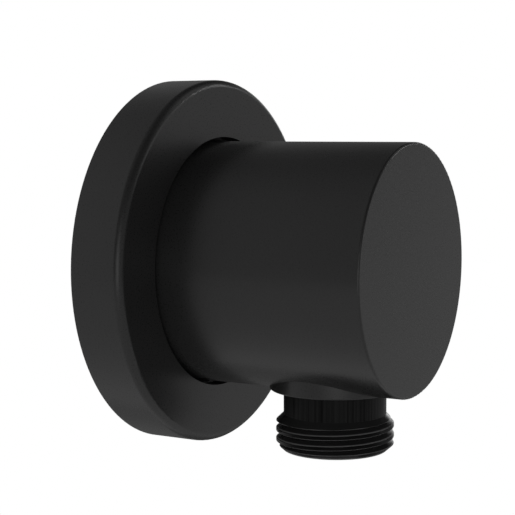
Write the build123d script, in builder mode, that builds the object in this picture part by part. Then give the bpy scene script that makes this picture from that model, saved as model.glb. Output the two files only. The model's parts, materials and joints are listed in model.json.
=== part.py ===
from build123d import *
import math
import os

# A wall outlet elbow for a shower hose, in millimetres.
# The wall face is the plane Y = 0, the room lies on its -Y side, and +Z is up.
# The body's axis is the Y axis. Distances "from the wall" are measured into the room.

# Pipe thread G 1/2, on both nipples
PIPE_THREAD_D = 20.955
PIPE_NOSE_D = 18.5
PIPE_NOSE_LENGTH = 1.1

# Elbow body: a turned cylinder with a flat front and a hollow back
BODY_D = 44.0
BODY_FRONT = 48.0
BODY_BACK = 1.0
BODY_EDGE_R = 0.45
BODY_SKIN = 2.9
POCKET_FLOOR = 19.5
POCKET_CORNER_R = 1.0
SOCKET_D = 17.0
SOCKET_WALL = 4.4
SOCKET_FLOOR = 23.6
SOCKET_LEAD_IN = 0.8
WATERWAY_D = 13.0

# Outlet boss under the body: its flat end lies a little above the body's lowest line
OUTLET_AXIS = 32.8
BOSS_D = 23.2
BOSS_RISE = 0.4
BOSS_EDGE_R = 0.3

# Outlet nipple, screwed up into the boss against a flat washer
ROOT_D = 20.0
ROOT_BORE_DEPTH = 9.6
ROOT_INSET = 0.6
NECK_D = 18.24
NECK_LENGTH = 4.4
THREAD_RUN_OUT = 1.3
OUTLET_REACH = 10.8
NIPPLE_BORE_D = 10.6
NIPPLE_KEY_SIZE = 11.0
NIPPLE_KEY_DEPTH = 3.0
WASHER_T = 1.5
WASHER_BORE_D = 13.6

# Inlet nipple: a thread for the wall and a plain spigot for the body's socket
INLET_REACH = 11.0
INLET_BORE_D = 9.6
SPIGOT_TIP_GAP = 0.4
SPIGOT_CHAMFER = 0.6
KEY_SIZE = 10.0
KEY_DEPTH = 9.0
SPIGOT_GROOVE_DEPTH = 1.45
SPIGOT_GROOVE_W = 2.2
SPIGOT_GROOVES = (17.9, 21.0)

# Grub screw, from below into a groove round the spigot
GRUB_AXIS = 14.0
GRUB_D = 5.0
GRUB_INSET = 2.4
GRUB_TIP_D = 2.4
GRUB_TIP_H = 1.3
GRUB_KEY_SIZE = 2.5
GRUB_KEY_DEPTH = 2.5
GRUB_BOSS_D = 9.0
LOCK_GROOVE_W = 2.8
LOCK_GROOVE_DEPTH = 0.9

# Wall flange: a hollow ring that slides on the body
FLANGE_D = 66.2
FLANGE_H = 10.0
FLANGE_EDGE_R = 1.4
FLANGE_SKIN = 2.0
FLANGE_RIM = 2.0
FLANGE_GAP = 0.8
FLANGE_INNER_R = 0.8
COLLAR_WALL = 1.6
COLLAR_BACK = 2.5
FLANGE_CORD_D = 2.4
FLANGE_GROOVE_W = 2.8
FLANGE_GROOVE_AXIS = 5.6
GASKET_GAP = 0.25
GASKET_LIP = 1.2

# Check valve cartridge in the outlet nipple
VALVE_BORE_D = 14.6
VALVE_BORE_DEPTH = 14.8
CARTRIDGE_LENGTH = 14.0
SEAT_LENGTH = 3.4
SEAT_CONE_H = 1.6
SEAT_THROAT_D = 8.0
SEAT_MOUTH_D = 10.6
SEAT_SPIGOT_D = 12.4
SEAT_SPIGOT_H = 1.4
SEAT_CHAMFER = 0.4
SEAT_GROOVE_DEPTH = 1.1
SEAT_GROOVE_W = 1.7
SEAT_GROOVE_TOP = 1.1
CAGE_FOOT_H = 2.0
CAGE_FOOT_BORE_D = 11.4
CAGE_HUB_D = 4.8
CAGE_HUB_H = 3.2
CAGE_SPOKES = 3
CAGE_SPOKE_W = 1.6
STEM_D = 2.1
STEM_ENGAGEMENT = 1.4
POPPET_D = 10.6
POPPET_FLANGE_H = 0.9
POPPET_CAP_LIP = 0.3
POPPET_CAP_H = 0.4
POPPET_DOME_H = 1.3
POPPET_CORD_D = 1.2
SPRING_D = 6.4
SPRING_WIRE_D = 0.45
SPRING_TURNS = 4.5
SPRING_WIRE_SIDES = 8

# Sides of every key's socket
HEXAGON = 6

# Fits, all on the radius
THREAD_FIT = 0.05
SOCKET_FIT = 0.05
SLIDE_FIT = 0.06
SEAL_FIT = 0.03
STEM_FIT = 0.08
CARTRIDGE_FIT = 0.1

# Places worked out from the sizes above
BODY_R = BODY_D / 2
PIPE_THREAD_R = PIPE_THREAD_D / 2
POCKET_R = BODY_R - BODY_SKIN
SOCKET_R = SOCKET_D / 2
HUB_R = SOCKET_R + SOCKET_WALL
WATERWAY_R = WATERWAY_D / 2
BOSS_END = -(BODY_R - BOSS_RISE)
ROOT_CEILING = BOSS_END + ROOT_BORE_DEPTH
ROOT_TOP = ROOT_CEILING - WASHER_T
ROOT_BOTTOM = BOSS_END + ROOT_INSET
NECK_END = BOSS_END - NECK_LENGTH
NOSE_END = BOSS_END - OUTLET_REACH
VALVE_TOP = NOSE_END + VALVE_BORE_DEPTH
SPIGOT_R = SOCKET_R - SOCKET_FIT
SPIGOT_TIP = SOCKET_FLOOR - SPIGOT_TIP_GAP
GRUB_TIP = -(SPIGOT_R - LOCK_GROOVE_DEPTH + THREAD_FIT)
GRUB_END = -(BODY_R - GRUB_INSET)

BACK_PLANE = Plane.XZ.offset(BODY_BACK)
OUTLET_PLANE = Plane.XZ.offset(OUTLET_AXIS)
OUTLET_LINE = Axis((0, -OUTLET_AXIS, 0), (0, 0, 1))
OUTLET_CENTRE = (0, -OUTLET_AXIS)
GRUB_CENTRE = (0, -GRUB_AXIS)
GRUB_LINE = Axis((0, -GRUB_AXIS, 0), (0, 0, 1))


def section_box(inner_r, outer_r, low, high):
    """Half section of a plain ring: a rectangle from one radius to another, between two heights."""
    with Locations((inner_r, low)):
        Rectangle(outer_r - inner_r, high - low, align=(Align.MIN, Align.MIN))


# Elbow body
with BuildPart() as elbow_body:
    with BuildSketch(BACK_PLANE):
        Circle(BODY_R)
    extrude(amount=BODY_FRONT - BODY_BACK)
    fillet(elbow_body.faces().sort_by(Axis.Y)[0].edges(), BODY_EDGE_R)

    # Hollow back, with the inlet socket's hub left standing in the middle
    with BuildSketch(BACK_PLANE):
        Circle(POCKET_R)
        Circle(HUB_R, mode=Mode.SUBTRACT)
    extrude(amount=POCKET_FLOOR - BODY_BACK, mode=Mode.SUBTRACT)
    pocket_floor = elbow_body.faces().filter_by(Axis.Y).filter_by(
        lambda face: abs(face.center().Y + POCKET_FLOOR) < BODY_EDGE_R)
    fillet(pocket_floor.edges(), POCKET_CORNER_R)

    # Web that carries the grub screw, from the hub to the skin and from the pocket's floor to a round back
    web_drop = POCKET_R + BODY_SKIN / 2
    web_reach = POCKET_FLOOR - GRUB_AXIS + POCKET_CORNER_R
    with BuildSketch(Plane.XY.offset(-web_drop)):
        with Locations(GRUB_CENTRE):
            Circle(GRUB_BOSS_D / 2)
            Rectangle(GRUB_BOSS_D, web_reach, align=(Align.CENTER, Align.MAX))
    extrude(amount=web_drop)

    # Outlet boss, faced flat where it ends
    with BuildSketch(OUTLET_PLANE) as boss_section:
        section_box(0, BOSS_D / 2, BOSS_END, 0)
        boss_rim = boss_section.vertices().sort_by_distance((BOSS_D / 2, -OUTLET_AXIS, BOSS_END))[0]
        fillet(boss_rim, BOSS_EDGE_R)
    revolve(axis=OUTLET_LINE)
    with BuildSketch(Plane.XY.offset(BOSS_END)):
        with Locations(OUTLET_CENTRE):
            Circle(BOSS_D / 2)
    extrude(amount=-BODY_R, mode=Mode.SUBTRACT)

    # Inlet socket and the waterway, which turns down through a ball-shaped corner
    with BuildSketch(BACK_PLANE):
        Circle(SOCKET_R)
    extrude(amount=SOCKET_FLOOR - BODY_BACK, mode=Mode.SUBTRACT)
    with BuildSketch(BACK_PLANE):
        Circle(WATERWAY_R)
    extrude(amount=OUTLET_AXIS - BODY_BACK, mode=Mode.SUBTRACT)
    with Locations((0, -OUTLET_AXIS, 0)):
        Sphere(WATERWAY_R, mode=Mode.SUBTRACT)
    with BuildSketch(Plane.XY):
        with Locations(OUTLET_CENTRE):
            Circle(WATERWAY_R)
    extrude(amount=ROOT_CEILING, mode=Mode.SUBTRACT)

    # Bore for the outlet nipple's root, and the grub screw's hole
    with BuildSketch(Plane.XY.offset(BOSS_END)):
        with Locations(OUTLET_CENTRE):
            Circle(ROOT_D / 2 + THREAD_FIT)
    extrude(amount=ROOT_BORE_DEPTH, mode=Mode.SUBTRACT)
    with BuildSketch(Plane.XY):
        with Locations(GRUB_CENTRE):
            Circle(GRUB_D / 2 + THREAD_FIT)
    extrude(amount=-BODY_D, mode=Mode.SUBTRACT)

    # Lead-in for the spigot's seals at the mouth of the socket
    socket_mouth = elbow_body.edges().filter_by(GeomType.CIRCLE).filter_by(
        lambda edge: edge.radius < HUB_R).sort_by(Axis.Y)[-1]
    chamfer(socket_mouth, SOCKET_LEAD_IN)
elbow_body.part.label = "elbow_body"

# Inlet nipple
with BuildPart() as inlet_nipple:
    with BuildSketch(Plane.XY):
        with BuildLine():
            Polyline(
                (INLET_BORE_D / 2, INLET_REACH),
                (PIPE_NOSE_D / 2, INLET_REACH),
                (PIPE_THREAD_R, INLET_REACH - PIPE_NOSE_LENGTH),
                (PIPE_THREAD_R, -BODY_BACK),
                (SPIGOT_R, -BODY_BACK),
                (SPIGOT_R, -(SPIGOT_TIP - SPIGOT_CHAMFER)),
                (SPIGOT_R - SPIGOT_CHAMFER, -SPIGOT_TIP),
                (INLET_BORE_D / 2, -SPIGOT_TIP),
                close=True,
            )
        make_face()
        for groove in SPIGOT_GROOVES:
            with Locations((SPIGOT_R, -groove)):
                Rectangle(2 * SPIGOT_GROOVE_DEPTH, SPIGOT_GROOVE_W, mode=Mode.SUBTRACT)
        with BuildLine():
            Polyline(
                (SPIGOT_R, -(GRUB_AXIS - LOCK_GROOVE_W / 2 - LOCK_GROOVE_DEPTH)),
                (SPIGOT_R - LOCK_GROOVE_DEPTH, -(GRUB_AXIS - LOCK_GROOVE_W / 2)),
                (SPIGOT_R - LOCK_GROOVE_DEPTH, -(GRUB_AXIS + LOCK_GROOVE_W / 2)),
                (SPIGOT_R, -(GRUB_AXIS + LOCK_GROOVE_W / 2 + LOCK_GROOVE_DEPTH)),
                close=True,
            )
        make_face(mode=Mode.SUBTRACT)
    revolve(axis=Axis.Y)

    # Hexagon for the key that turns the nipple into the wall
    with BuildSketch(Plane.XZ.offset(SPIGOT_TIP)):
        RegularPolygon(KEY_SIZE / 2, HEXAGON, major_radius=False)
    extrude(amount=-KEY_DEPTH, mode=Mode.SUBTRACT)
inlet_nipple.part.label = "inlet_nipple"

# The two seals on the spigot
spigot_cord_r = (SPIGOT_GROOVE_DEPTH + SOCKET_FIT) / 2 - SEAL_FIT
spigot_seal_r = SPIGOT_R - SPIGOT_GROOVE_DEPTH + SEAL_FIT + spigot_cord_r
with BuildPart(Plane.XZ.offset(SPIGOT_GROOVES[0])) as inlet_o_ring_back:
    Torus(spigot_seal_r, spigot_cord_r)
inlet_o_ring_back.part.label = "inlet_o_ring_back"

with BuildPart(Plane.XZ.offset(SPIGOT_GROOVES[1])) as inlet_o_ring_front:
    Torus(spigot_seal_r, spigot_cord_r)
inlet_o_ring_front.part.label = "inlet_o_ring_front"

# Grub screw with a hexagon socket in its lower end
with BuildPart() as grub_screw:
    with BuildSketch(Plane.XZ.offset(GRUB_AXIS)):
        with BuildLine():
            Polyline(
                (0, GRUB_TIP),
                (GRUB_TIP_D / 2, GRUB_TIP),
                (GRUB_D / 2, GRUB_TIP - GRUB_TIP_H),
                (GRUB_D / 2, GRUB_END),
                (0, GRUB_END),
                close=True,
            )
        make_face()
    revolve(axis=GRUB_LINE)
    with BuildSketch(Plane.XY.offset(GRUB_END)):
        with Locations(GRUB_CENTRE):
            RegularPolygon(GRUB_KEY_SIZE / 2, HEXAGON, major_radius=False)
    extrude(amount=GRUB_KEY_DEPTH, mode=Mode.SUBTRACT)
grub_screw.part.label = "grub_screw"

# Outlet nipple
with BuildPart() as outlet_nipple:
    with BuildSketch(OUTLET_PLANE):
        with BuildLine():
            Polyline(
                (VALVE_BORE_D / 2, NOSE_END),
                (PIPE_NOSE_D / 2, NOSE_END),
                (PIPE_THREAD_R, NOSE_END + PIPE_NOSE_LENGTH),
                (PIPE_THREAD_R, NECK_END - THREAD_RUN_OUT),
                (NECK_D / 2, NECK_END),
                (NECK_D / 2, ROOT_BOTTOM),
                (ROOT_D / 2, ROOT_BOTTOM),
                (ROOT_D / 2, ROOT_TOP),
                (NIPPLE_BORE_D / 2, ROOT_TOP),
                (NIPPLE_BORE_D / 2, VALVE_TOP),
                (VALVE_BORE_D / 2, VALVE_TOP),
                close=True,
            )
        make_face()
    revolve(axis=OUTLET_LINE)

    # Hexagon for the key that turns the nipple into the boss
    with BuildSketch(Plane.XY.offset(VALVE_TOP)):
        with Locations(OUTLET_CENTRE):
            RegularPolygon(NIPPLE_KEY_SIZE / 2, HEXAGON, major_radius=False)
    extrude(amount=NIPPLE_KEY_DEPTH, mode=Mode.SUBTRACT)
outlet_nipple.part.label = "outlet_nipple"

# Flat washer above the outlet nipple
with BuildPart() as outlet_washer:
    with BuildSketch(OUTLET_PLANE):
        section_box(WASHER_BORE_D / 2, ROOT_D / 2 - THREAD_FIT, ROOT_TOP, ROOT_CEILING)
    revolve(axis=OUTLET_LINE)
outlet_washer.part.label = "outlet_washer"

# Wall flange
flange_r = FLANGE_D / 2
flange_bore_r = BODY_R + FLANGE_GAP
flange_cord_r = FLANGE_CORD_D / 2
flange_seal_r = BODY_R + SLIDE_FIT + flange_cord_r
flange_groove_r = flange_seal_r + flange_cord_r + SEAL_FIT
collar_r = flange_groove_r + COLLAR_WALL
with BuildPart() as wall_flange:
    with BuildSketch(Plane.XY):
        with BuildLine():
            Polyline(
                (flange_r, 0),
                (flange_r, -FLANGE_H),
                (flange_bore_r, -FLANGE_H),
                (flange_bore_r, -COLLAR_BACK),
                (collar_r, -COLLAR_BACK),
                (collar_r, -(FLANGE_H - FLANGE_SKIN)),
                (flange_r - FLANGE_RIM, -(FLANGE_H - FLANGE_SKIN)),
                (flange_r - FLANGE_RIM, 0),
                close=True,
            )
        flange_face = make_face()
        fillet(flange_face.vertices().sort_by_distance((flange_r, -FLANGE_H))[0], FLANGE_EDGE_R)
        inner_corners = flange_face.vertices().filter_by(
            lambda corner: abs(corner.Y + FLANGE_H - FLANGE_SKIN) < SEAL_FIT)
        fillet(inner_corners, FLANGE_INNER_R)
        with Locations((flange_bore_r, -FLANGE_GROOVE_AXIS)):
            Rectangle(2 * (flange_groove_r - flange_bore_r), FLANGE_GROOVE_W, mode=Mode.SUBTRACT)
    revolve(axis=Axis.Y)
wall_flange.part.label = "wall_flange"

# Seal ring that grips the body inside the flange
with BuildPart(Plane.XZ.offset(FLANGE_GROOVE_AXIS)) as flange_o_ring:
    Torus(flange_seal_r, flange_cord_r)
flange_o_ring.part.label = "flange_o_ring"

# Soft gasket between the flange's collar and the wall, a little wider than the collar
with BuildPart() as wall_gasket:
    with BuildSketch(Plane.XY):
        section_box(flange_bore_r + GASKET_GAP, collar_r + GASKET_LIP, -COLLAR_BACK, 0)
    revolve(axis=Axis.Y)
wall_gasket.part.label = "wall_gasket"

# Check valve seat: the cartridge's top, with a groove for its seal and a cone that the poppet shuts on
cartridge_r = VALVE_BORE_D / 2 - CARTRIDGE_FIT
seat_spigot_r = SEAT_SPIGOT_D / 2
seat_bottom = VALVE_TOP - SEAT_LENGTH
seat_spigot_end = seat_bottom - SEAT_SPIGOT_H
seat_groove_r = cartridge_r - SEAT_GROOVE_DEPTH
seat_groove_axis = VALVE_TOP - SEAT_GROOVE_TOP - SEAT_GROOVE_W / 2
with BuildPart() as valve_seat:
    with BuildSketch(OUTLET_PLANE):
        with BuildLine():
            Polyline(
                (SEAT_THROAT_D / 2, VALVE_TOP),
                (cartridge_r - SEAT_CHAMFER, VALVE_TOP),
                (cartridge_r, VALVE_TOP - SEAT_CHAMFER),
                (cartridge_r, seat_bottom),
                (seat_spigot_r, seat_bottom),
                (seat_spigot_r, seat_spigot_end),
                (SEAT_MOUTH_D / 2, seat_spigot_end),
                (SEAT_THROAT_D / 2, seat_spigot_end + SEAT_CONE_H),
                close=True,
            )
        make_face()
        with Locations((cartridge_r, seat_groove_axis)):
            Rectangle(2 * SEAT_GROOVE_DEPTH, SEAT_GROOVE_W, mode=Mode.SUBTRACT)
    revolve(axis=OUTLET_LINE)
valve_seat.part.label = "valve_seat"

# Seal between the cartridge and the nipple
valve_cord_r = (SEAT_GROOVE_DEPTH + CARTRIDGE_FIT) / 2 - SEAL_FIT
with BuildPart(Plane((0, -OUTLET_AXIS, seat_groove_axis))) as valve_o_ring:
    Torus(seat_groove_r + SEAL_FIT + valve_cord_r, valve_cord_r)
valve_o_ring.part.label = "valve_o_ring"

# Check valve cage: a tube whose foot is a spoked guide for the poppet's stem
cage_bottom = VALVE_TOP - CARTRIDGE_LENGTH
spoke_top = cage_bottom + CAGE_FOOT_H
hub_top = cage_bottom + CAGE_HUB_H
cage_bore_r = seat_spigot_r + SOCKET_FIT
stem_bore_r = STEM_D / 2 + STEM_FIT
with BuildPart() as valve_cage:
    with BuildSketch(OUTLET_PLANE):
        section_box(cage_bore_r, cartridge_r, cage_bottom, seat_bottom)
        section_box(CAGE_FOOT_BORE_D / 2, cartridge_r, cage_bottom, spoke_top)
    revolve(axis=OUTLET_LINE)
    with BuildSketch(Plane.XY.offset(cage_bottom)):
        with Locations(OUTLET_CENTRE):
            with PolarLocations(CAGE_FOOT_BORE_D / 4, CAGE_SPOKES):
                Rectangle((CAGE_FOOT_BORE_D + CAGE_SPOKE_W) / 2, CAGE_SPOKE_W)
    extrude(amount=CAGE_FOOT_H)
    with BuildSketch(Plane.XY.offset(cage_bottom)):
        with Locations(OUTLET_CENTRE):
            Circle(CAGE_HUB_D / 2)
    extrude(amount=CAGE_HUB_H)
    with BuildSketch(Plane.XY.offset(cage_bottom)):
        with Locations(OUTLET_CENTRE):
            Circle(stem_bore_r)
    extrude(amount=CAGE_HUB_H, mode=Mode.SUBTRACT)
valve_cage.part.label = "valve_cage"

# Poppet seal, resting on the middle of the seat's cone
poppet_cord_r = POPPET_CORD_D / 2
seat_angle = math.atan2((SEAT_MOUTH_D - SEAT_THROAT_D) / 2, SEAT_CONE_H)
seat_contact_r = (SEAT_THROAT_D + SEAT_MOUTH_D) / 4
seat_contact_z = seat_spigot_end + SEAT_CONE_H / 2
poppet_seal_r = seat_contact_r - (poppet_cord_r + SEAL_FIT) * math.cos(seat_angle)
poppet_seal_z = seat_contact_z - (poppet_cord_r + SEAL_FIT) * math.sin(seat_angle)
with BuildPart(Plane((0, -OUTLET_AXIS, poppet_seal_z))) as valve_poppet_seal:
    Torus(poppet_seal_r, poppet_cord_r)
valve_poppet_seal.part.label = "valve_poppet_seal"

# Poppet: a domed cap, a groove for its seal, a flange for the spring and a stem
poppet_core_r = poppet_seal_r - poppet_cord_r - SEAL_FIT
poppet_cap_r = poppet_core_r + POPPET_CAP_LIP
poppet_cap_z = poppet_seal_z + poppet_cord_r + SEAL_FIT
poppet_flange_z = poppet_seal_z - poppet_cord_r - SEAL_FIT
poppet_flange_end = poppet_flange_z - POPPET_FLANGE_H
stem_end = hub_top - STEM_ENGAGEMENT
with BuildPart() as valve_poppet:
    with BuildSketch(OUTLET_PLANE):
        with BuildLine():
            dome = ThreePointArc(
                (0, poppet_cap_z + POPPET_CAP_H + POPPET_DOME_H),
                (poppet_cap_r * math.sin(math.pi / 4),
                 poppet_cap_z + POPPET_CAP_H + POPPET_DOME_H * math.cos(math.pi / 4)),
                (poppet_cap_r, poppet_cap_z + POPPET_CAP_H),
            )
            Polyline(
                dome @ 1,
                (poppet_cap_r, poppet_cap_z),
                (poppet_core_r, poppet_cap_z),
                (poppet_core_r, poppet_flange_z),
                (POPPET_D / 2, poppet_flange_z),
                (POPPET_D / 2, poppet_flange_end),
                (STEM_D / 2, poppet_flange_end),
                (STEM_D / 2, stem_end),
                (0, stem_end),
                dome @ 0,
            )
        make_face()
    revolve(axis=OUTLET_LINE)
valve_poppet.part.label = "valve_poppet"

# Spring between the cage's spokes and the poppet's flange
spring_wire_r = SPRING_WIRE_D / 2
spring_low = spoke_top + spring_wire_r + SEAL_FIT
spring_high = poppet_flange_end - spring_wire_r - SEAL_FIT
spring_height = spring_high - spring_low
with BuildPart() as valve_spring:
    with BuildLine():
        coil = Helix(spring_height / SPRING_TURNS, spring_height, SPRING_D / 2, (0, -OUTLET_AXIS, spring_low))
    with BuildSketch(Plane(origin=coil @ 0, z_dir=coil % 0)):
        RegularPolygon(spring_wire_r, SPRING_WIRE_SIDES)
    sweep(path=coil, is_frenet=True)
valve_spring.part.label = "valve_spring"

# One file for each piece
pieces = [
    elbow_body, inlet_nipple, inlet_o_ring_back, inlet_o_ring_front, grub_screw, outlet_nipple, outlet_washer,
    wall_flange, flange_o_ring, wall_gasket, valve_seat, valve_o_ring, valve_cage, valve_poppet,
    valve_poppet_seal, valve_spring,
]
os.makedirs("parts", exist_ok=True)
for piece in pieces:
    export_step(piece.part, f"parts/{piece.part.label}.step")
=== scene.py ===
# %% [markdown]
# # A matte black wall outlet elbow
#
# The real object is a shower fitting: a round flange lies on the wall, a plain cylinder stands out of it,
# and a threaded nipple under the cylinder takes the hose. The solids come from the part's own CAD model,
# which is loaded here as a fixed frame. This lesson gives every piece its smooth surface, its thread and
# its finish.

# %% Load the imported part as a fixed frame
import json
import math

import bmesh
import bpy
from mathutils import Matrix, Vector

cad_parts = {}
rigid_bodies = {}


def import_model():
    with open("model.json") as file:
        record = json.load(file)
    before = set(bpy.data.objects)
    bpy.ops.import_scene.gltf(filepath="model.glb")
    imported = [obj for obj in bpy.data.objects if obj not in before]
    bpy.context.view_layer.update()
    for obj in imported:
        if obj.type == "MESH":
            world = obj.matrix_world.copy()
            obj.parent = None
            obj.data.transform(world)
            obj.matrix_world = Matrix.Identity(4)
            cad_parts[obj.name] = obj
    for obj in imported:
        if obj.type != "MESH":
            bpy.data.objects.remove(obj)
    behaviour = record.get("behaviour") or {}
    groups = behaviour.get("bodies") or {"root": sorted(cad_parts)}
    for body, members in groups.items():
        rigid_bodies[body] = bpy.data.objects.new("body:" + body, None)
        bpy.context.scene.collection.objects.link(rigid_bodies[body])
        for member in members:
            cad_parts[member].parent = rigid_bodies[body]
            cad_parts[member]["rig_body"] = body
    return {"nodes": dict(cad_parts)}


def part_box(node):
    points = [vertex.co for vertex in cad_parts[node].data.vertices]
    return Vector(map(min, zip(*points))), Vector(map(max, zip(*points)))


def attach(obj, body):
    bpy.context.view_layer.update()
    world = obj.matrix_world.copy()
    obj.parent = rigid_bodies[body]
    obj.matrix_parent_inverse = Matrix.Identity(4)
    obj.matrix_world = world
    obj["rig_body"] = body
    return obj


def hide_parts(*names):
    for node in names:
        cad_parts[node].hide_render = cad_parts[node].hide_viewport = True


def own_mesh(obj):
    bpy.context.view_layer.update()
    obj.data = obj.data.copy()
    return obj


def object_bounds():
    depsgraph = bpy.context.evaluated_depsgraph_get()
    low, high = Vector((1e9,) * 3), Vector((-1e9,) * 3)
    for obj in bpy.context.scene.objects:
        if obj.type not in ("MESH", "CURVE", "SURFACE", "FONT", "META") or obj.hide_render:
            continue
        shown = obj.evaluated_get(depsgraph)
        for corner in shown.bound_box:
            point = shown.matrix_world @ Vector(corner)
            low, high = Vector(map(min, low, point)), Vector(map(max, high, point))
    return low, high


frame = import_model()
cad_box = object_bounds()
MM = 0.001
print("nodes:", sorted(frame["nodes"]))

# %% [markdown]
# ## Camera
#
# A camera could be placed by eye, but the outlines of two circles, the flange and the front face, are
# enough to work out where it stood. It looks at the body's side from the left, a little from above, with a
# long lens.

# %% Camera at the photograph's viewing angle
IMAGE_SIDE_PX = 515
FOCAL_PX = 1392.2
SENSOR_MM = 36.0
AZIMUTH = -60.19
ELEVATION = 5.51
ROLL = math.radians(-0.233)
DISTANCE = 248.6 * MM
NEAREST_SEEN = DISTANCE / 100
AIM = Vector((0, -26.0, 0)) * MM
AIM_RIGHT = -7.77 * MM
AIM_UP = 1.39 * MM


def way_to(degrees_round, degrees_up):
    """Unit vector from the part, round from the camera's own side (right is plus) and up."""
    turn = math.radians(AZIMUTH + degrees_round)
    rise = math.radians(degrees_up)
    return Vector((math.sin(turn) * math.cos(rise), -math.cos(turn) * math.cos(rise), math.sin(rise)))


def make_camera():
    """The camera, aimed beside the part's middle because the part isn't in the picture's middle."""
    back = way_to(0, ELEVATION)
    right = way_to(90, 0)
    up = back.cross(right)
    place = AIM + right * AIM_RIGHT + up * AIM_UP + back * DISTANCE
    rolled_right = right * math.cos(ROLL) + up * math.sin(ROLL)
    rolled_up = up * math.cos(ROLL) - right * math.sin(ROLL)
    turned_to = Matrix((rolled_right, rolled_up, back)).transposed().to_4x4()
    camera = bpy.data.objects.new("camera", bpy.data.cameras.new("camera"))
    camera.data.sensor_width = SENSOR_MM
    camera.data.lens = SENSOR_MM * FOCAL_PX / IMAGE_SIDE_PX
    camera.data.clip_start = NEAREST_SEEN
    camera.matrix_world = Matrix.Translation(place) @ turned_to
    bpy.context.scene.collection.objects.link(camera)
    bpy.context.scene.camera = camera
    return camera


camera = make_camera()
print("camera at", tuple(round(x / MM, 1) for x in camera.location), "mm")
print("lens", round(camera.data.lens, 1), "mm")

# %% [markdown]
# ## Helpers for node trees
#
# Materials, the world and Geometry Nodes are all trees of nodes. They could be drawn by hand in the node
# editor, but a script can be read and run again. Three small helpers keep it short: one starts a tree with
# named inputs and outputs, one adds a node and fills its inputs with a value or a link, and one does a
# single sum with a Math node.

# %% Helpers for node trees


def new_tree(name, kind, inputs, outputs):
    """A node group with named sockets, and its two end nodes."""
    tree = bpy.data.node_groups.new(name, kind)
    for label, socket_type in inputs:
        tree.interface.new_socket(label, in_out="INPUT", socket_type=socket_type)
    for label, socket_type in outputs:
        tree.interface.new_socket(label, in_out="OUTPUT", socket_type=socket_type)
    return tree, tree.nodes.new("NodeGroupInput").outputs, tree.nodes.new("NodeGroupOutput").inputs


def add_node(tree, kind, inputs=None, **settings):
    """A new node. Each input is set to a value, or linked if the value is another node's output."""
    node = tree.nodes.new(kind)
    for name, value in settings.items():
        setattr(node, name, value)
    for name, value in (inputs or {}).items():
        if isinstance(value, bpy.types.NodeSocket):
            tree.links.new(value, node.inputs[name])
        else:
            node.inputs[name].default_value = value
    return node


def calculate(tree, operation, *values):
    """One Math node: its output socket."""
    return add_node(tree, "ShaderNodeMath", dict(enumerate(values)), operation=operation).outputs[0]


print("helpers:", new_tree.__name__, add_node.__name__, calculate.__name__)

# %% [markdown]
# ## Studio light
#
# A black fitting shows its form by what it mirrors, so panels stand all round it. Wide soft ones at the
# left light its long side, and dim ones behind it, high and low, light what faces away. At the right,
# narrow panels and one small lamp draw thin bright lines along the rounded edges, two soft ones fill the
# flat faces, and a tight one catches the ends of the thread. Two small ones in front light the boss.
#
# Area lamps could do this. Panels drawn on the world as soft spots of brightness give the same light with
# less noise, and each needs only a direction, a strength and a width. The camera sees white all round, and
# a sheet of white paper behind the fitting also shows in its reflections.

# %% One soft panel, as a shader node group


def lined_up(tree, way, towards):
    """How well a way points towards a direction: 1 if it does, less if it doesn't."""
    product = add_node(tree, "ShaderNodeVectorMath", {0: way, 1: towards}, operation="DOT_PRODUCT")
    return product.outputs["Value"]


def panel_group():
    """A soft round spot of brightness towards one direction."""
    tree, given, out = new_tree(
        "soft_panel", "ShaderNodeTree",
        [("Way", "NodeSocketVector"), ("Towards", "NodeSocketVector"), ("Brightness", "NodeSocketFloat"),
         ("Tightness", "NodeSocketFloat")],
        [("Level", "NodeSocketFloat")])
    away = calculate(tree, "SUBTRACT", lined_up(tree, given["Way"], given["Towards"]), 1.0)
    spot = calculate(tree, "EXPONENT", calculate(tree, "MULTIPLY", away, given["Tightness"]))
    tree.links.new(calculate(tree, "MULTIPLY", spot, given["Brightness"]), out["Level"])
    return tree


SOFT_PANEL = panel_group()
print("panel group:", SOFT_PANEL.name)

# %% The panels, and the world that shows them
# Tightness says how fast a spot fades away from its middle
WIDE = 6.0
MIDDLING = 7.5
FAIRLY_SMALL = 12.0
SMALL = 15.0
NARROW = 30.0
TIGHT = 60.0
LAMP = 600.0

# Degrees round from the camera's side, degrees up, brightness, tightness
PANELS = {
    "left": (-90, 0, 0.95, WIDE),
    "high at the left": (-90, 45, 0.33, WIDE),
    "behind, left": (-130, 0, 0.79, MIDDLING),
    "behind, high at the left": (-160, 20, 0.20, SMALL),
    "behind, low at the left": (-150, -50, 0.20, MIDDLING),
    "right": (93, 0, 1.5, NARROW),
    "high at the right": (110, 38, 0.7, NARROW),
    "lamp at the right": (121, 15, 9.0, LAMP),
    "low at the right": (110, -30, 0.52, FAIRLY_SMALL),
    "behind, right": (130, -8, 0.20, WIDE),
    "far right": (157, 2, 2.4, TIGHT),
    "in front, right": (50, 0, 0.54, FAIRLY_SMALL),
    "in front": (0, -6, 2.3, SMALL),
}
PAPER_EDGE = 11.0
PAPER_BLUR = 3.0
PAPER_MIRRORED = 0.12


def all_panels(tree, way):
    """The sum of all the panels, as they are seen along one way."""
    level = 0.0
    for degrees_round, degrees_up, brightness, tightness in PANELS.values():
        panel = add_node(tree, "ShaderNodeGroup", node_tree=SOFT_PANEL)
        tree.links.new(way, panel.inputs["Way"])
        panel.inputs["Towards"].default_value = way_to(degrees_round, degrees_up)
        panel.inputs["Brightness"].default_value = brightness
        panel.inputs["Tightness"].default_value = tightness
        level = calculate(tree, "ADD", level, panel.outputs["Level"])
    return level


def mirrored_ray(tree, path):
    """1 where the light is seen in a reflection or through something clear."""
    return calculate(tree, "MAXIMUM", path.outputs["Is Glossy Ray"], path.outputs["Is Transmission Ray"])


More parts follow.
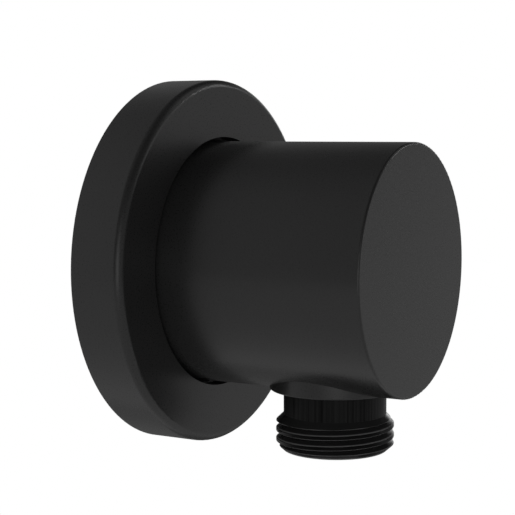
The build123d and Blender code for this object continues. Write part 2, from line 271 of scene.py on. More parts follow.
def make_world():
    """Panels that light the part, paper for its reflections and white for the camera."""
    world = bpy.data.worlds.new("studio")
    bpy.context.scene.world = world
    world.use_nodes = True
    tree = world.node_tree
    tree.nodes.clear()
    way = add_node(tree, "ShaderNodeTexCoord").outputs["Generated"]
    paper = add_node(tree, "ShaderNodeMapRange", {
        "Value": lined_up(tree, way, way_to(180, -ELEVATION)),
        "From Min": math.cos(math.radians(PAPER_EDGE + PAPER_BLUR)),
        "From Max": math.cos(math.radians(PAPER_EDGE)),
        "To Max": PAPER_MIRRORED,
    })
    path = add_node(tree, "ShaderNodeLightPath")
    shown = calculate(tree, "MULTIPLY", mirrored_ray(tree, path), paper.outputs["Result"])
    shown = calculate(tree, "MAXIMUM", shown, path.outputs["Is Camera Ray"])
    brightest = calculate(tree, "MAXIMUM", all_panels(tree, way), shown)
    light = add_node(tree, "ShaderNodeBackground", {"Color": brightest})
    out = add_node(tree, "ShaderNodeOutputWorld")
    tree.links.new(light.outputs["Background"], out.inputs["Surface"])
    return world


world = make_world()
bpy.context.scene.view_settings.view_transform = "Standard"
print("world:", world.name, "with", len(PANELS), "panels")

# %% [markdown]
# ## Table
#
# The fitting hangs on a wall, so the white table lies well below it and out of the picture. It is still
# needed: the lower half of the body shows it as a soft reflection. It ends a little behind the fitting. A
# lamp under it could make it glow, but a glow that only the camera and the reflections see leaves the
# object's light alone.

# %% Table
TABLE_DROP = 0.5
TABLE_BEHIND = 0.25
TABLE_REACH = 3.2
TABLE_WHITE = 0.85
TABLE_ROUGHNESS = 0.9
GLOW_SEEN = 0.75
GLOW_MIRRORED = 0.495


def table_material():
    """White, with a glow for the camera and another for reflections."""
    material = bpy.data.materials.new("white_table")
    material.use_nodes = True
    tree = material.node_tree
    path = add_node(tree, "ShaderNodeLightPath")
    in_mirrors = calculate(tree, "MULTIPLY", mirrored_ray(tree, path), GLOW_MIRRORED)
    in_picture = calculate(tree, "MULTIPLY", path.outputs["Is Camera Ray"], GLOW_SEEN)
    shader = tree.nodes["Principled BSDF"]
    shader.inputs["Base Color"].default_value = (TABLE_WHITE, TABLE_WHITE, TABLE_WHITE, 1)
    shader.inputs["Roughness"].default_value = TABLE_ROUGHNESS
    shader.inputs["Emission Strength"].default_value = 1.0
    tree.links.new(calculate(tree, "MAXIMUM", in_mirrors, in_picture), shader.inputs["Emission Color"])
    return material


def make_table():
    """One flat face, square to the camera's way of looking."""
    low, high = cad_box
    centre = (low + high) / 2
    front = way_to(0, 0)
    right = way_to(90, 0)
    corners = []
    for along, aside in ((-TABLE_BEHIND, -TABLE_REACH), (-TABLE_BEHIND, TABLE_REACH),
                         (TABLE_REACH, TABLE_REACH), (TABLE_REACH, -TABLE_REACH)):
        corner = centre + front * along + right * aside
        corners.append((corner.x, corner.y, low.z - TABLE_DROP))
    mesh = bpy.data.meshes.new("table")
    mesh.from_pydata(corners, [], [(3, 2, 1, 0)])
    mesh.materials.append(table_material())
    table = bpy.data.objects.new("table", mesh)
    bpy.context.scene.collection.objects.link(table)
    return table


table = make_table()
print("table at", round(table.data.vertices[0].co.z, 3), "m, faces", tuple(table.data.polygons[0].normal))

# %% [markdown]
# ## Grain and tool marks
#
# Nearly all that is seen of the fitting is black, so what tells its pieces apart is their gloss and their
# grain. Photographed textures could show that, but noise needs no picture and has no seams. Two effects are
# shared by several finishes, so each is a node group that a material places with its own scale: the even
# grain of a sprayed or moulded skin, and the fine straight marks that a cutting tool leaves.

# %% Shared effects as shader node groups
GRAIN_DETAIL = 2.0
CLOUD_DETAIL = 3.0
MARK_DETAIL = 3.0
FINE_SHARE = 0.6


def grain_group():
    """Fine even grain, with slow cloudy changes under it."""
    tree, given, out = new_tree(
        "sprayed_grain", "ShaderNodeTree",
        [("Grains per metre", "NodeSocketFloat"), ("Clouds per metre", "NodeSocketFloat")],
        [("Grain", "NodeSocketFloat"), ("Clouds", "NodeSocketFloat")])
    place = add_node(tree, "ShaderNodeTexCoord").outputs["Object"]
    grain = add_node(tree, "ShaderNodeTexNoise", {
        "Vector": place, "Scale": given["Grains per metre"], "Detail": GRAIN_DETAIL,
        "Roughness": FINE_SHARE})
    clouds = add_node(tree, "ShaderNodeTexNoise", {
        "Vector": place, "Scale": given["Clouds per metre"], "Detail": CLOUD_DETAIL})
    tree.links.new(grain.outputs["Fac"], out["Grain"])
    tree.links.new(clouds.outputs["Fac"], out["Clouds"])
    return tree


def marks_group():
    """Fine straight marks. They run along each axis whose share in Across is 0."""
    tree, given, out = new_tree(
        "tool_marks", "ShaderNodeTree",
        [("Across", "NodeSocketVector"), ("Marks per metre", "NodeSocketFloat")],
        [("Marks", "NodeSocketFloat")])
    place = add_node(tree, "ShaderNodeTexCoord").outputs["Object"]
    flat = add_node(tree, "ShaderNodeVectorMath", {0: place, 1: given["Across"]}, operation="MULTIPLY")
    marks = add_node(tree, "ShaderNodeTexNoise", {
        "Vector": flat.outputs["Vector"], "Scale": given["Marks per metre"], "Detail": MARK_DETAIL,
        "Roughness": FINE_SHARE})
    tree.links.new(marks.outputs["Fac"], out["Marks"])
    return tree


SPRAYED_GRAIN = grain_group()
TOOL_MARKS = marks_group()
print("shared groups:", SPRAYED_GRAIN.name, TOOL_MARKS.name)

# %% [markdown]
# ## Coats, rubber, plastic and metal
#
# The body and the flange have a sprayed matte coat, the seals are rubber, the valve is plastic, and the
# connector, the screw and the spring are bare metal. Each could have a tree of its own, but they differ
# only in a few numbers, so two functions make them all from one Principled shader each. What stays the
# same over a piece is set on the shader's sockets, and what varies is linked: a slightly cloudy colour, a
# roughness that follows the grain or the marks, and a low relief through a Bump node.

# %% Makers of the plain finishes
CLOUDS_PER_METRE = 90.0
CLOUD_SHADE = 0.85
MARKS_PER_METRE = 3000
NOISE_LOW = 0.3
NOISE_HIGH = 0.7


def new_material(name, **constants):
    """A Principled material. The constants go straight on the shader's own sockets."""
    material = bpy.data.materials.new(name)
    material.use_nodes = True
    shader = material.node_tree.nodes["Principled BSDF"]
    for label, value in constants.items():
        shader.inputs[label.replace("_", " ")].default_value = value
    return material, material.node_tree, shader


def spread(tree, value, low, high):
    """A noise's middle values, spread over the range from low to high."""
    return add_node(tree, "ShaderNodeMapRange", {
        "Value": value, "From Min": NOISE_LOW, "From Max": NOISE_HIGH, "To Min": low, "To Max": high,
    }).outputs["Result"]


def relief(tree, shader, height, distance):
    """A low relief in the surface's normals."""
    bump = add_node(tree, "ShaderNodeBump", {"Height": height, "Strength": 1.0, "Distance": distance})
    tree.links.new(bump.outputs["Normal"], shader.inputs["Normal"])


def cloudy_colour(tree, shader, colour, clouds):
    """The colour, a little darker where the clouds are thin."""
    tint = add_node(tree, "ShaderNodeMix", {"Factor": clouds}, data_type="RGBA")
    colour_a, colour_b, result = tint.inputs[6], tint.inputs[7], tint.outputs[2]
    colour_a.default_value = (*(CLOUD_SHADE * c for c in colour), 1)
    colour_b.default_value = (*colour, 1)
    tree.links.new(result, shader.inputs["Base Color"])


def grained(name, colour, roughness, grains, bump, **constants):
    """A coat, rubber or plastic whose roughness and relief follow the shared grain."""
    material, tree, shader = new_material(name, **constants)
    grain = add_node(tree, "ShaderNodeGroup", node_tree=SPRAYED_GRAIN)
    grain.inputs["Grains per metre"].default_value = grains
    grain.inputs["Clouds per metre"].default_value = CLOUDS_PER_METRE
    cloudy_colour(tree, shader, colour, grain.outputs["Clouds"])
    tree.links.new(spread(tree, grain.outputs["Grain"], *roughness), shader.inputs["Roughness"])
    relief(tree, shader, grain.outputs["Grain"], bump)
    return material


def turned(name, colour, roughness, across, bump, **constants):
    """A machined metal whose roughness and relief follow the shared tool marks."""
    material, tree, shader = new_material(name, **constants)
    marks = add_node(tree, "ShaderNodeGroup", node_tree=TOOL_MARKS)
    marks.inputs["Across"].default_value = across
    marks.inputs["Marks per metre"].default_value = MARKS_PER_METRE
    shader.inputs["Base Color"].default_value = (*colour, 1)
    tree.links.new(spread(tree, marks.outputs["Marks"], *roughness), shader.inputs["Roughness"])
    relief(tree, shader, marks.outputs["Marks"], bump)
    return material


print("makers of finishes:", grained.__name__, turned.__name__)

# %% [markdown]
# ## Black of the outlet nipple
#
# The nipple is darker and duller than the coat. Its neck has upright streaks, and along the edges of its
# thread and round its low end a grey is painted in as highlight lines. A painted mask could show these
# highlight lines, but it would need a picture. Here the material works out how deep each point lies under
# the cylinder and the two cones in which the thread is cut, and the grey follows that depth.

# %% Black of the outlet nipple
NIPPLE_AXIS = -32.8
NIPPLE_LOW = -32.4
NIPPLE_TOP = -26.0
CREST_RADIUS = 10.4775
NECK_RADIUS = 9.12
NECK_CONE = 1.3
END_RADIUS = 9.25
END_CONE = 1.1
# Depths under the thread's cover, and a height above its low end, where grey highlight lines are painted
HIGHLIGHT_FROM = 0.02
HIGHLIGHT_TO = 0.26
HIGHLIGHT_BLUR = 0.04
HIGHLIGHT_END = 0.25
PAINTED_HIGHLIGHT_GREY = 0.19
GROOVE_GREY = 0.024
CONE_GREY = 0.022
CREST_BLACK = 0.001
NIPPLE_SPECULAR = 0.05
THREAD_ROUGHNESS = 0.15
NECK_ROUGHNESS = (0.2, 0.5)
UPRIGHT = (1, 1, 0)
STREAKS_PER_METRE = 2400
STREAK_RELIEF = 0.08 * MM


def nipple_black():
    """Deep dull black, with upright streaks on the neck and painted grey highlight lines on the thread's
    edges and low end.
    """
    material, tree, shader = new_material("nipple_black", Specular_IOR_Level=NIPPLE_SPECULAR)

    def do(operation, *values):
        return calculate(tree, operation, *values)

    def ramp(value, start, end):
        return add_node(tree, "ShaderNodeMapRange", {
            "Value": value, "From Min": start, "From Max": end}).outputs["Result"]

    def between(value, low, high):
        return do("MULTIPLY", ramp(value, low, low + HIGHLIGHT_BLUR), ramp(value, high + HIGHLIGHT_BLUR, high))

    place = add_node(tree, "ShaderNodeTexCoord").outputs["Object"]
    in_mm = add_node(tree, "ShaderNodeVectorMath", {0: place, "Scale": 1 / MM}, operation="SCALE")
    spot = add_node(tree, "ShaderNodeSeparateXYZ", {"Vector": in_mm.outputs["Vector"]})
    height = spot.outputs["Z"]
    aside = do("SUBTRACT", spot.outputs["Y"], NIPPLE_AXIS)
    radius = do("SQRT", do("MULTIPLY_ADD", aside, aside, do("POWER", spot.outputs["X"], 2.0)))

    # Depth under the cylinder and the two cones in which the thread is cut
    slope = (CREST_RADIUS - NECK_RADIUS) / NECK_CONE
    top_cone = do("MULTIPLY_ADD", do("SUBTRACT", NIPPLE_TOP, height), slope, NECK_RADIUS)
    slope = (CREST_RADIUS - END_RADIUS) / END_CONE
    end_cone = do("MULTIPLY_ADD", do("SUBTRACT", height, NIPPLE_LOW), slope, END_RADIUS)
    cover = do("MINIMUM", do("MINIMUM", top_cone, end_cone), CREST_RADIUS)
    depth = do("SUBTRACT", cover, radius)

    # Where grey highlight lines are painted, on the thread's edges and at its low end, and where the black
    # is a little lighter
    on_neck = do("GREATER_THAN", height, NIPPLE_TOP)
    on_cone = do("SUBTRACT", do("GREATER_THAN", height, NIPPLE_TOP - NECK_CONE), on_neck)
    in_groove = do("GREATER_THAN", depth, HIGHLIGHT_TO)
    # Painted highlight lines: the crest edges of the thread, and a band at its low end
    edges = do("MULTIPLY", between(depth, HIGHLIGHT_FROM, HIGHLIGHT_TO), do("SUBTRACT", 1.0, on_neck))
    painted_highlight = do("MAXIMUM", edges, between(height, NIPPLE_LOW - HIGHLIGHT_BLUR, NIPPLE_LOW + HIGHLIGHT_END))

    streak_group = add_node(tree, "ShaderNodeGroup", node_tree=TOOL_MARKS)
    streak_group.inputs["Across"].default_value = UPRIGHT
    streak_group.inputs["Marks per metre"].default_value = STREAKS_PER_METRE
    streaks = streak_group.outputs["Marks"]
    neck_grey = do("MULTIPLY", on_neck, spread(tree, streaks, 0.0, GROOVE_GREY))
    dull = do("MAXIMUM", do("MULTIPLY", in_groove, GROOVE_GREY), do("MULTIPLY", on_cone, CONE_GREY))
    # The painted highlight grey goes over the other greys
    grey = do("MAXIMUM", do("MAXIMUM", dull, neck_grey), do("MULTIPLY", painted_highlight, PAINTED_HIGHLIGHT_GREY))
    tree.links.new(do("MAXIMUM", grey, CREST_BLACK), shader.inputs["Base Color"])
    neck_roughness = do("MULTIPLY", spread(tree, streaks, *NECK_ROUGHNESS), on_neck)
    tree.links.new(do("MAXIMUM", neck_roughness, THREAD_ROUGHNESS), shader.inputs["Roughness"])
    relief(tree, shader, do("MULTIPLY", streaks, on_neck), STREAK_RELIEF)
    return material


NIPPLE_BLACK = nipple_black()
print("nipple's finish:", NIPPLE_BLACK.name, "with", len(NIPPLE_BLACK.node_tree.nodes), "nodes")

# %% [markdown]
# ## All the finishes
#
# Each finish has a slot, which is the name that the part's record knows it by. Every piece could make its
# own material, but pieces of the same stuff look alike, so they share one from this table. The tool marks
# run round the axis on which a piece is made: Y for the brass connector, Z for the steel screw and spring.

# %% Finish of each slot
BLACK_COAT = (0.03, 0.03, 0.03)
BRASS = (0.70, 0.50, 0.22)
STEEL = (0.55, 0.55, 0.55)
RUBBER = (0.012, 0.012, 0.013)
FOAM = (0.03, 0.03, 0.031)
WHITE_PLASTIC = (0.75, 0.75, 0.72)
BLUE_GREY_PLASTIC = (0.16, 0.22, 0.28)
ROUND_Y = (0, 1, 0)
ROUND_Z = (0, 0, 1)

MATERIALS = {
    "black_coat": grained(
        "black_coat", BLACK_COAT, roughness=(0.26, 0.32), grains=3500, bump=0.005 * MM,
        Specular_IOR_Level=0.3),
    "black_gloss": NIPPLE_BLACK,
    "brass": turned(
        "brass", BRASS, roughness=(0.22, 0.34), across=ROUND_Y, bump=0.002 * MM, Metallic=1.0),
    "steel": turned(
        "steel", STEEL, roughness=(0.22, 0.32), across=ROUND_Z, bump=0.001 * MM, Metallic=1.0),
    "seal_rubber": grained(
        "seal_rubber", RUBBER, roughness=(0.52, 0.62), grains=3500, bump=0.002 * MM),
    "gasket_foam": grained(
        "gasket_foam", FOAM, roughness=(0.8, 0.95), grains=1400, bump=0.06 * MM),
    "valve_plastic": grained(
        "valve_plastic", WHITE_PLASTIC, roughness=(0.38, 0.48), grains=2500, bump=0.001 * MM),
    "poppet_plastic": grained(
        "poppet_plastic", BLUE_GREY_PLASTIC, roughness=(0.30, 0.40), grains=2500, bump=0.001 * MM),
}
print("slots:", list(MATERIALS))

# %% [markdown]
# ## Smooth surfaces
#
# Twelve pieces have their whole shape in the CAD model: the cast body, the flange, the seals, the gasket
# and the moulded valve. They could be modelled again, but then they might differ from it. The frame's
# meshes are loose triangles, which would show every facet. A copy whose doubles are merged can be shaded
# smooth, with edges left sharp where the real piece has an edge, and weighted normals keep its flat faces
# flat beside a rounding.

# %% Smooth copies of the CAD solids
WELD = 0.0005 * MM
SHARP_ANGLE = math.radians(32)


def mesh_piece(name, work):
    """A new object in the scene, with the mesh that was being worked on."""
    mesh = bpy.data.meshes.new(name)
    work.to_mesh(mesh)
    work.free()
    piece = bpy.data.objects.new(name, mesh)
    bpy.context.scene.collection.objects.link(piece)
    return piece


def finish_mesh(piece):
    """Smooth shading with sharp edges, and normals that follow the large faces."""
    for face in piece.data.polygons:
        face.use_smooth = True
    piece.data.set_sharp_from_angle(angle=SHARP_ANGLE)
    weigh = piece.modifiers.new("weighted_normals", "WEIGHTED_NORMAL")
    weigh.keep_sharp = True
    return piece


def put_in_place(piece, node, slot):
    """The piece stands for its CAD node, moves with that node's body and takes its slot's finish."""
    piece.data.materials.clear()
    piece.data.materials.append(MATERIALS[slot])
    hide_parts(node)
    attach(piece, frame["nodes"][node]["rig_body"])
    return piece


def smooth_copy(name, node, slot):
    """A merged copy of a CAD node's mesh, without the normals that came with its loose triangles."""
    work = bmesh.new()
    work.from_mesh(frame["nodes"][node].data)
    bmesh.ops.remove_doubles(work, verts=work.verts, dist=WELD)
    piece = mesh_piece(name, work)
    custom = piece.data.attributes.get("custom_normal")
    if custom:
        piece.data.attributes.remove(custom)
    return put_in_place(finish_mesh(piece), node, slot)


SMOOTH_PIECES = [
    ("coated_body", "elbow_body", "black_coat"),
    ("coated_flange", "wall_flange", "black_coat"),
    ("spigot_seal_back", "inlet_o_ring_back", "seal_rubber"),
    ("spigot_seal_front", "inlet_o_ring_front", "seal_rubber"),
    ("flange_grip_ring", "flange_o_ring", "seal_rubber"),
    ("nipple_washer", "outlet_washer", "seal_rubber"),
    ("cartridge_seal", "valve_o_ring", "seal_rubber"),
    ("poppet_seal", "valve_poppet_seal", "seal_rubber"),
    ("wall_gasket_ring", "wall_gasket", "gasket_foam"),
    ("cartridge_seat", "valve_seat", "valve_plastic"),
    ("cartridge_cage", "valve_cage", "valve_plastic"),
    ("cartridge_poppet", "valve_poppet", "poppet_plastic"),
]
for name, node, slot in SMOOTH_PIECES:
    piece = smooth_copy(name, node, slot)
    print(piece.name, len(piece.data.polygons), "faces")

# %% [markdown]
# ## Grip of the flange's rubber ring
#
# The rubber ring in the flange's groove grips the body, so the flange stays where it is pushed. The CAD
# model leaves a hair's width between the two, and light would shine through it. A shrinkwrap could close
# it, but the ring is round, so drawing its mesh in a little is enough.

# %% Grip of the flange's rubber ring
GRIP_PRESS = 0.02 * MM


def press_on_body(ring):
    """Draws the ring in until it presses on the body all round."""
    low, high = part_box("elbow_body")
    inner_radius = min(math.hypot(point.co.x, point.co.z) for point in ring.data.vertices)
    share = (high.x - GRIP_PRESS) / inner_radius
    ring.data.transform(Matrix.Diagonal((share, 1, share, 1)))
    return share


print("grip ring drawn in to", round(press_on_body(bpy.data.objects["flange_grip_ring"]), 5), "of its size")

# %% [markdown]
# ## Screw threads
#
# A thread is a ridge that winds round an axis. It could be a profile swept along a helix, but its two ends,
# where the cutter runs out, are then hard to trim. Here a flat grid is wrapped round the axis instead. One
# side of the grid runs across the ridge and the other along the helix, and the radius of each point follows
# from how far it is from the nearest crest. A cone at each end limits that radius, and a fade lets the
# groove run out into a collar.

# %% Thread, in Geometry Nodes
THREAD_SIZES = [
    "Pitch", "Crest radius", "Crest width", "Flank width", "Depth", "Crest round", "Root round", "Crest at",
    "Low", "Top", "Low radius", "Low cone", "Top radius", "Top cone", "Fade start", "Fade end",
]
THREAD_COUNTS = ["Turns", "Steps per turn", "Rows"]


def end_tree(tree, geometry, given, out):
    """The end of every tree: real geometry with its material."""
    real = add_node(tree, "GeometryNodeRealizeInstances", {"Geometry": geometry})
    finished = add_node(tree, "GeometryNodeSetMaterial", {
        "Geometry": real.outputs["Geometry"], "Material": given["Material"]})
    tree.links.new(finished.outputs["Geometry"], out["Mesh"])


def thread_tree():
    """A thread round Z, from named sizes and counts."""
    tree, given, out = new_tree(
        "screw_thread", "GeometryNodeTree",
        [(label, "NodeSocketFloat") for label in THREAD_SIZES]
        + [(label, "NodeSocketInt") for label in THREAD_COUNTS] + [("Material", "NodeSocketMaterial")],
        [("Mesh", "NodeSocketGeometry")])

    def do(operation, *values):
        return calculate(tree, operation, *values)

    grid = add_node(tree, "GeometryNodeMeshGrid", {
        "Size X": 1.0,
        "Size Y": given["Turns"],
        "Vertices X": do("ADD", given["Rows"], 1.0),
        "Vertices Y": do("MULTIPLY_ADD", given["Turns"], given["Steps per turn"], 1.0),
    })
    position = add_node(tree, "GeometryNodeInputPosition").outputs["Position"]
    spot = add_node(tree, "ShaderNodeSeparateXYZ", {"Vector": position})
    across, turn = spot.outputs["X"], spot.outputs["Y"]

    # Height of each point, kept between the two ends, and its distance from the nearest crest
    height = do("MULTIPLY_ADD", do("ADD", across, turn), given["Pitch"], given["Crest at"])
    height = do("MINIMUM", do("MAXIMUM", height, given["Low"]), given["Top"])
    pitches_up = do("DIVIDE", do("SUBTRACT", height, given["Crest at"]), given["Pitch"])
    phase = do("WRAP", do("SUBTRACT", pitches_up, turn), 0.5, -0.5)
    from_crest = do("MULTIPLY", do("ABSOLUTE", phase), given["Pitch"])

    # Cut below the crest: flat, then a straight flank, then a rounded root
    beside = do("SUBTRACT", from_crest, do("DIVIDE", given["Crest width"], 2.0))
    flank = do("MULTIPLY", beside, do("DIVIDE", given["Depth"], given["Flank width"]))
    cut = do("SMOOTH_MAX", flank, 0.0, given["Crest round"])
    cut = do("SMOOTH_MIN", cut, given["Depth"], given["Root round"])
    fade = add_node(tree, "ShaderNodeMapRange", {
        "Value": height, "From Min": given["Fade start"], "From Max": given["Fade end"]})
    radius = do("SUBTRACT", given["Crest radius"], do("MULTIPLY", cut, fade.outputs["Result"]))

    # Cones at the low and the top end
    from_low = do("SUBTRACT", height, given["Low"])
    from_top = do("SUBTRACT", given["Top"], height)
    for end, rise in (("Low", from_low), ("Top", from_top)):
        end_radius = given[end + " radius"]
        slope = do("DIVIDE", do("SUBTRACT", given["Crest radius"], end_radius), given[end + " cone"])
        radius = do("MINIMUM", radius, do("MULTIPLY_ADD", rise, slope, end_radius))

    # The grid wrapped round the axis, and its seam merged
    angle = do("MULTIPLY", turn, math.tau)
    wrapped = add_node(tree, "ShaderNodeCombineXYZ", {
        "X": do("MULTIPLY", radius, do("COSINE", angle)),
        "Y": do("MULTIPLY", radius, do("SINE", angle)),
        "Z": height,
    })
    placed = add_node(tree, "GeometryNodeSetPosition", {
        "Geometry": grid.outputs["Mesh"], "Position": wrapped.outputs["Vector"]})
    merged = add_node(tree, "GeometryNodeMergeByDistance", {
        "Geometry": placed.outputs["Geometry"], "Distance": WELD})
    end_tree(tree, merged.outputs["Geometry"], given, out)
    return tree


def grow(tree, name, values):
    """The plain mesh that a Geometry Nodes tree makes from these values."""
    holder = bpy.data.objects.new(name, bpy.data.meshes.new(name))
    bpy.context.scene.collection.objects.link(holder)
    modifier = holder.modifiers.new(name, "NODES")
    modifier.node_group = tree
    for item in tree.interface.items_tree:
        if item.in_out == "INPUT":
            modifier[item.identifier] = values[item.name]
    ready = holder.evaluated_get(bpy.context.evaluated_depsgraph_get())
    mesh = bpy.data.meshes.new_from_object(ready)
    bpy.data.objects.remove(holder)
    return mesh


SCREW_THREAD = thread_tree()
print("thread tree:", len(SCREW_THREAD.nodes), "nodes")

# %% [markdown]
# ## Pieces turned from bar
#
# The outlet nipple, the wall connector and the lock screw are turned from bar, so apart from its thread
# each is an outline spun round an axis. A Screw modifier could spin it, but the key's sockets have six
# sides, so here every ring asks its radius at each angle. The outline starts on the thread's top ring, goes
# round the rest of the piece, outside and through the bore, and ends on the thread's low ring. Both have
# the same number of points, so they join without a seam.

# %% Helpers for pieces turned from bar
FADE_CLEARANCE = 1.0


def hexagon(across_flats):
    """Radius of a key's hexagon at each angle, with a corner at 0."""
    sixth = math.tau / 6
    return lambda angle: across_flats / 2 / math.cos(angle % sixth - sixth / 2)


def spin(work, outline, steps):
    """Rings of points round Z, one for each radius and height, joined by faces."""
    rings = []
    for radius, height in outline:
        ring = []
        for step in range(steps):
            angle = math.tau * step / steps
            reach = radius(angle) if callable(radius) else radius
            point = (reach * math.cos(angle) * MM, reach * math.sin(angle) * MM, height * MM)
            ring.append(work.verts.new(point))
        rings.append(ring)
    for ring, next_ring in zip(rings, rings[1:]):
        for step in range(steps):
            after = (step + 1) % steps
            work.faces.new((ring[step], ring[after], next_ring[after], next_ring[step]))


def threaded_piece(name, node, slot, thread, counts, place, *outlines):
    """A thread and the outlines that close it, all in millimetres round Z, moved to their place."""
    values = {label: size * MM for label, size in thread.items()}
    values.update(counts, Material=MATERIALS[slot])
    work = bmesh.new()
    work.from_mesh(grow(SCREW_THREAD, name, values))
    for outline in outlines:
        spin(work, outline, values["Steps per turn"])
    bmesh.ops.remove_doubles(work, verts=work.verts, dist=2 * WELD)
    bmesh.ops.dissolve_degenerate(work, edges=work.edges, dist=WELD)
    bmesh.ops.recalc_face_normals(work, faces=work.faces)
    bmesh.ops.transform(work, matrix=place, verts=work.verts)
    open_edges = sum(not edge.is_manifold for edge in work.edges)
    piece = put_in_place(finish_mesh(mesh_piece(name, work)), node, slot)
    print(name, len(piece.data.polygons), "faces,", open_edges, "open edges")


def full_depth_from(low):
    """A fade that is over before the piece begins, so its whole groove is cut to full depth."""
    return {"Fade start": low - 2 * FADE_CLEARANCE, "Fade end": low - FADE_CLEARANCE}


print("helpers:", hexagon.__name__, spin.__name__, threaded_piece.__name__)

# %% [markdown]
# ## Outlet nipple
#
# The hose's nut is screwed on this nipple. Its pipe thread runs out through a cone into a plain neck, and
# its root is hidden in the boss. From below one looks into the bore that holds the check valve, with the
# socket for the key at its end. It could be a copy of its CAD solid, but that has a plain cylinder in place
# of the ridges. Its radii and heights are in millimetres, and its finish above uses the same ones.

# %% Outlet nipple
PIPE_THREAD = {
    "Pitch": 1.814, "Crest radius": CREST_RADIUS, "Crest width": 0.604, "Flank width": 0.605,
    "Depth": 1.162, "Crest round": 0.2, "Root round": 0.25,
}
PIPE_STEPS = 192
PIPE_ROWS = 24
NIPPLE_TURNS = 5
NIPPLE_CREST = -29.42
NECK_TOP = -21.0
ROOT_RADIUS = 10.0
ROOT_TOP = -13.5
OUTLET_RADIUS = 5.3
NIPPLE_KEY = hexagon(11.0)
NIPPLE_KEY_TOP = -14.6
NIPPLE_KEY_LOW = -17.6
VALVE_BORE_RADIUS = 7.3

NIPPLE_OUTLINE = [
    # Neck
    (NECK_RADIUS, NIPPLE_TOP), (NECK_RADIUS, NECK_TOP),
    # Root, hidden in the boss
    (ROOT_RADIUS, NECK_TOP), (ROOT_RADIUS, ROOT_TOP),
    # Round bore
    (OUTLET_RADIUS, ROOT_TOP), (OUTLET_RADIUS, NIPPLE_KEY_TOP),
    # Socket for the key
    (NIPPLE_KEY, NIPPLE_KEY_TOP), (NIPPLE_KEY, NIPPLE_KEY_LOW),
    # Bore of the check valve, and the flat end
    (VALVE_BORE_RADIUS, NIPPLE_KEY_LOW), (VALVE_BORE_RADIUS, NIPPLE_LOW), (END_RADIUS, NIPPLE_LOW),
]
threaded_piece(
    "coated_nipple", "outlet_nipple", "black_gloss",
    {**PIPE_THREAD, **full_depth_from(NIPPLE_LOW), "Crest at": NIPPLE_CREST,
     "Low": NIPPLE_LOW, "Low radius": END_RADIUS, "Low cone": END_CONE,
     "Top": NIPPLE_TOP, "Top radius": NECK_RADIUS, "Top cone": NECK_CONE},
    {"Turns": NIPPLE_TURNS, "Steps per turn": PIPE_STEPS, "Rows": PIPE_ROWS},
    Matrix.Translation((0, NIPPLE_AXIS * MM, 0)), NIPPLE_OUTLINE)

# %% [markdown]
# ## Wall connector
#
# Behind the flange a brass connector is screwed into the pipe in the wall. Its thread runs out into a
# collar, and from there a plain spigot reaches into the body, with two grooves for seals and one for the
# tip of the lock screw. It could be cut from a cylinder with Boolean modifiers, but one outline holds all
# the grooves and the key's socket, and leaves clean edges. The collar is as wide as the crests, so the cone
# at that end is a straight one. The piece is made upright and then laid along Y.

# %% Wall connector
CONNECTOR_LOW = -1.0
CONNECTOR_TOP = 11.0
CONNECTOR_TURNS = 8
CONNECTOR_CREST = 5.0
COLLAR_CONE = 1.0
COLLAR_END = CONNECTOR_LOW + 0.8
RUN_OUT_END = CONNECTOR_LOW + 2.6
INLET_RADIUS = 4.8
CONNECTOR_KEY = hexagon(10.0)
CONNECTOR_KEY_END = -14.2
SPIGOT_RADIUS = 8.45
SPIGOT_TIP = -23.2
TIP_RADIUS = 7.85
TIP_CHAMFER_END = -22.6
SEAL_GROOVE_RADIUS = 7.0
FRONT_SEAL_GROOVE = (-22.1, -19.9)
BACK_SEAL_GROOVE = (-19.0, -16.8)
LOCK_GROOVE_RADIUS = 7.55
LOCK_GROOVE = (-16.3, -11.7)
LOCK_GROOVE_FLOOR = (-15.4, -12.6)
LIE_ALONG_Y = Matrix.Rotation(math.radians(-90), 4, "X")


def groove(ends, floor_radius, floor_ends):
    """Four points of the spigot's outline, down into a groove and up again."""
    start, end = ends
    floor_start, floor_end = floor_ends
    floor = [(floor_radius, floor_start), (floor_radius, floor_end)]
    return [(SPIGOT_RADIUS, start), *floor, (SPIGOT_RADIUS, end)]


CONNECTOR_OUTLINE = [
    # Flat end and bore
    (END_RADIUS, CONNECTOR_TOP), (INLET_RADIUS, CONNECTOR_TOP), (INLET_RADIUS, CONNECTOR_KEY_END),
    # Socket for the key
    (CONNECTOR_KEY, CONNECTOR_KEY_END), (CONNECTOR_KEY, SPIGOT_TIP),
    # Tip of the spigot, and its grooves
    (TIP_RADIUS, SPIGOT_TIP), (SPIGOT_RADIUS, TIP_CHAMFER_END),
    *groove(FRONT_SEAL_GROOVE, SEAL_GROOVE_RADIUS, FRONT_SEAL_GROOVE),
    *groove(BACK_SEAL_GROOVE, SEAL_GROOVE_RADIUS, BACK_SEAL_GROOVE),
    *groove(LOCK_GROOVE, LOCK_GROOVE_RADIUS, LOCK_GROOVE_FLOOR),
    # Collar at the wall
    (SPIGOT_RADIUS, CONNECTOR_LOW), (CREST_RADIUS, CONNECTOR_LOW),
]
threaded_piece(
    "wall_connector", "inlet_nipple", "brass",
    {**PIPE_THREAD, "Crest at": CONNECTOR_CREST, "Fade start": COLLAR_END, "Fade end": RUN_OUT_END,
     "Low": CONNECTOR_LOW, "Low radius": CREST_RADIUS, "Low cone": COLLAR_CONE,
     "Top": CONNECTOR_TOP, "Top radius": END_RADIUS, "Top cone": END_CONE},
    {"Turns": CONNECTOR_TURNS, "Steps per turn": PIPE_STEPS, "Rows": PIPE_ROWS},
    LIE_ALONG_Y, CONNECTOR_OUTLINE)

# %% [markdown]
# ## Lock screw
#
# A grub screw, put in from below, holds the body on the spigot. It has a hexagon socket at its low end and
# a cone at its tip. A ready-made bolt from an add-on could stand in for it, but the thread tree only needs
# other sizes. Two short outlines close it: the flat tip, and the low end with its socket.

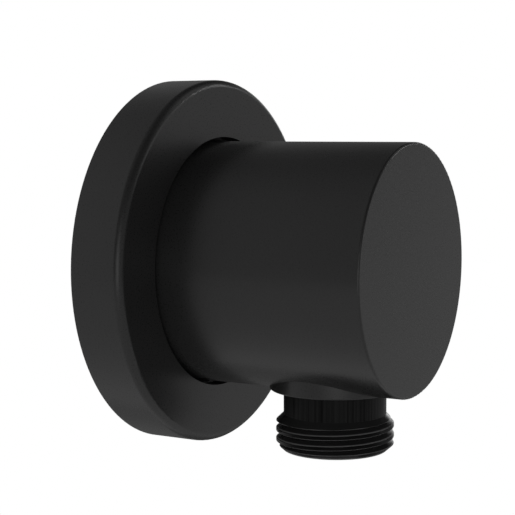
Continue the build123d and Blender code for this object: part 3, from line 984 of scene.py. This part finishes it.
# %% Lock screw
SCREW_LOW = -19.6
SCREW_TOP = -7.6
SCREW_AXIS = -14.0
SCREW_RADIUS = 2.5
SCREW_END_RADIUS = 2.05
SCREW_TIP_RADIUS = 1.2
SCREW_KEY = hexagon(2.5)
SCREW_KEY_TOP = -17.1
SCREW_THREAD_SIZES = {
    "Pitch": 0.8, "Crest radius": SCREW_RADIUS, "Crest width": 0.1, "Flank width": 0.25, "Depth": 0.43,
    "Crest round": 0.03, "Root round": 0.06, "Crest at": (SCREW_LOW + SCREW_TOP) / 2,
    "Low": SCREW_LOW, "Low radius": SCREW_END_RADIUS, "Low cone": 0.4,
    "Top": SCREW_TOP, "Top radius": SCREW_TIP_RADIUS, "Top cone": 1.3,
}
SCREW_COUNTS = {"Turns": 18, "Steps per turn": 96, "Rows": 12}
FLAT_TIP = [(SCREW_TIP_RADIUS, SCREW_TOP), (0.0, SCREW_TOP)]
SOCKET_END = [
    (SCREW_END_RADIUS, SCREW_LOW), (SCREW_KEY, SCREW_LOW), (SCREW_KEY, SCREW_KEY_TOP), (0.0, SCREW_KEY_TOP),
]
threaded_piece(
    "lock_screw", "grub_screw", "steel",
    {**SCREW_THREAD_SIZES, **full_depth_from(SCREW_LOW)}, SCREW_COUNTS,
    Matrix.Translation((0, SCREW_AXIS * MM, 0)), FLAT_TIP, SOCKET_END)

# %% [markdown]
# ## Spring of the check valve
#
# The spring is one steel wire wound into a helix between the cage's spokes and the poppet. A Screw modifier
# could wind it, but a spiral curve with a round profile in Geometry Nodes needs only its four sizes. Its
# width and its height are measured on the CAD solid.

# %% Spring, in Geometry Nodes
SPRING_SIZES = ["Turns", "Coil radius", "Height", "Wire radius"]
SPRING_TURNS = 4.5
POINTS_PER_TURN = 40
WIRE_SIDES = 12
WIRE_RADIUS = 0.225 * MM


def spring_tree():
    """A wire wound round Z, from named sizes."""
    tree, given, out = new_tree(
        "wire_spring", "GeometryNodeTree",
        [(label, "NodeSocketFloat") for label in SPRING_SIZES] + [("Material", "NodeSocketMaterial")],
        [("Mesh", "NodeSocketGeometry")])
    coil = add_node(tree, "GeometryNodeCurveSpiral", {
        "Resolution": POINTS_PER_TURN, "Rotations": given["Turns"], "Start Radius": given["Coil radius"],
        "End Radius": given["Coil radius"], "Height": given["Height"]})
    wire = add_node(tree, "GeometryNodeCurvePrimitiveCircle", {
        "Resolution": WIRE_SIDES, "Radius": given["Wire radius"]})
    wound = add_node(tree, "GeometryNodeCurveToMesh", {
        "Curve": coil.outputs["Curve"], "Profile Curve": wire.outputs["Curve"], "Fill Caps": True})
    end_tree(tree, wound.outputs["Mesh"], given, out)
    return tree


def make_spring():
    """The spring between its foot on the cage and the poppet."""
    low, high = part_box("valve_spring")
    height = high.z - low.z - 2 * WIRE_RADIUS
    mesh = grow(spring_tree(), "coil_spring", {
        "Turns": SPRING_TURNS, "Coil radius": (high.x - low.x) / 2 - WIRE_RADIUS, "Height": height,
        "Wire radius": WIRE_RADIUS, "Material": MATERIALS["steel"]})
    work = bmesh.new()
    work.from_mesh(mesh)
    bmesh.ops.recalc_face_normals(work, faces=work.faces)
    foot = Vector((0, NIPPLE_AXIS * MM, low.z + WIRE_RADIUS))
    bmesh.ops.translate(work, vec=foot, verts=work.verts)
    piece = put_in_place(finish_mesh(mesh_piece("coil_spring", work)), "valve_spring", "steel")
    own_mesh(piece)
    print("spring", round(height / MM, 2), "mm between the wire's ends,", len(piece.data.polygons), "faces")


make_spring()
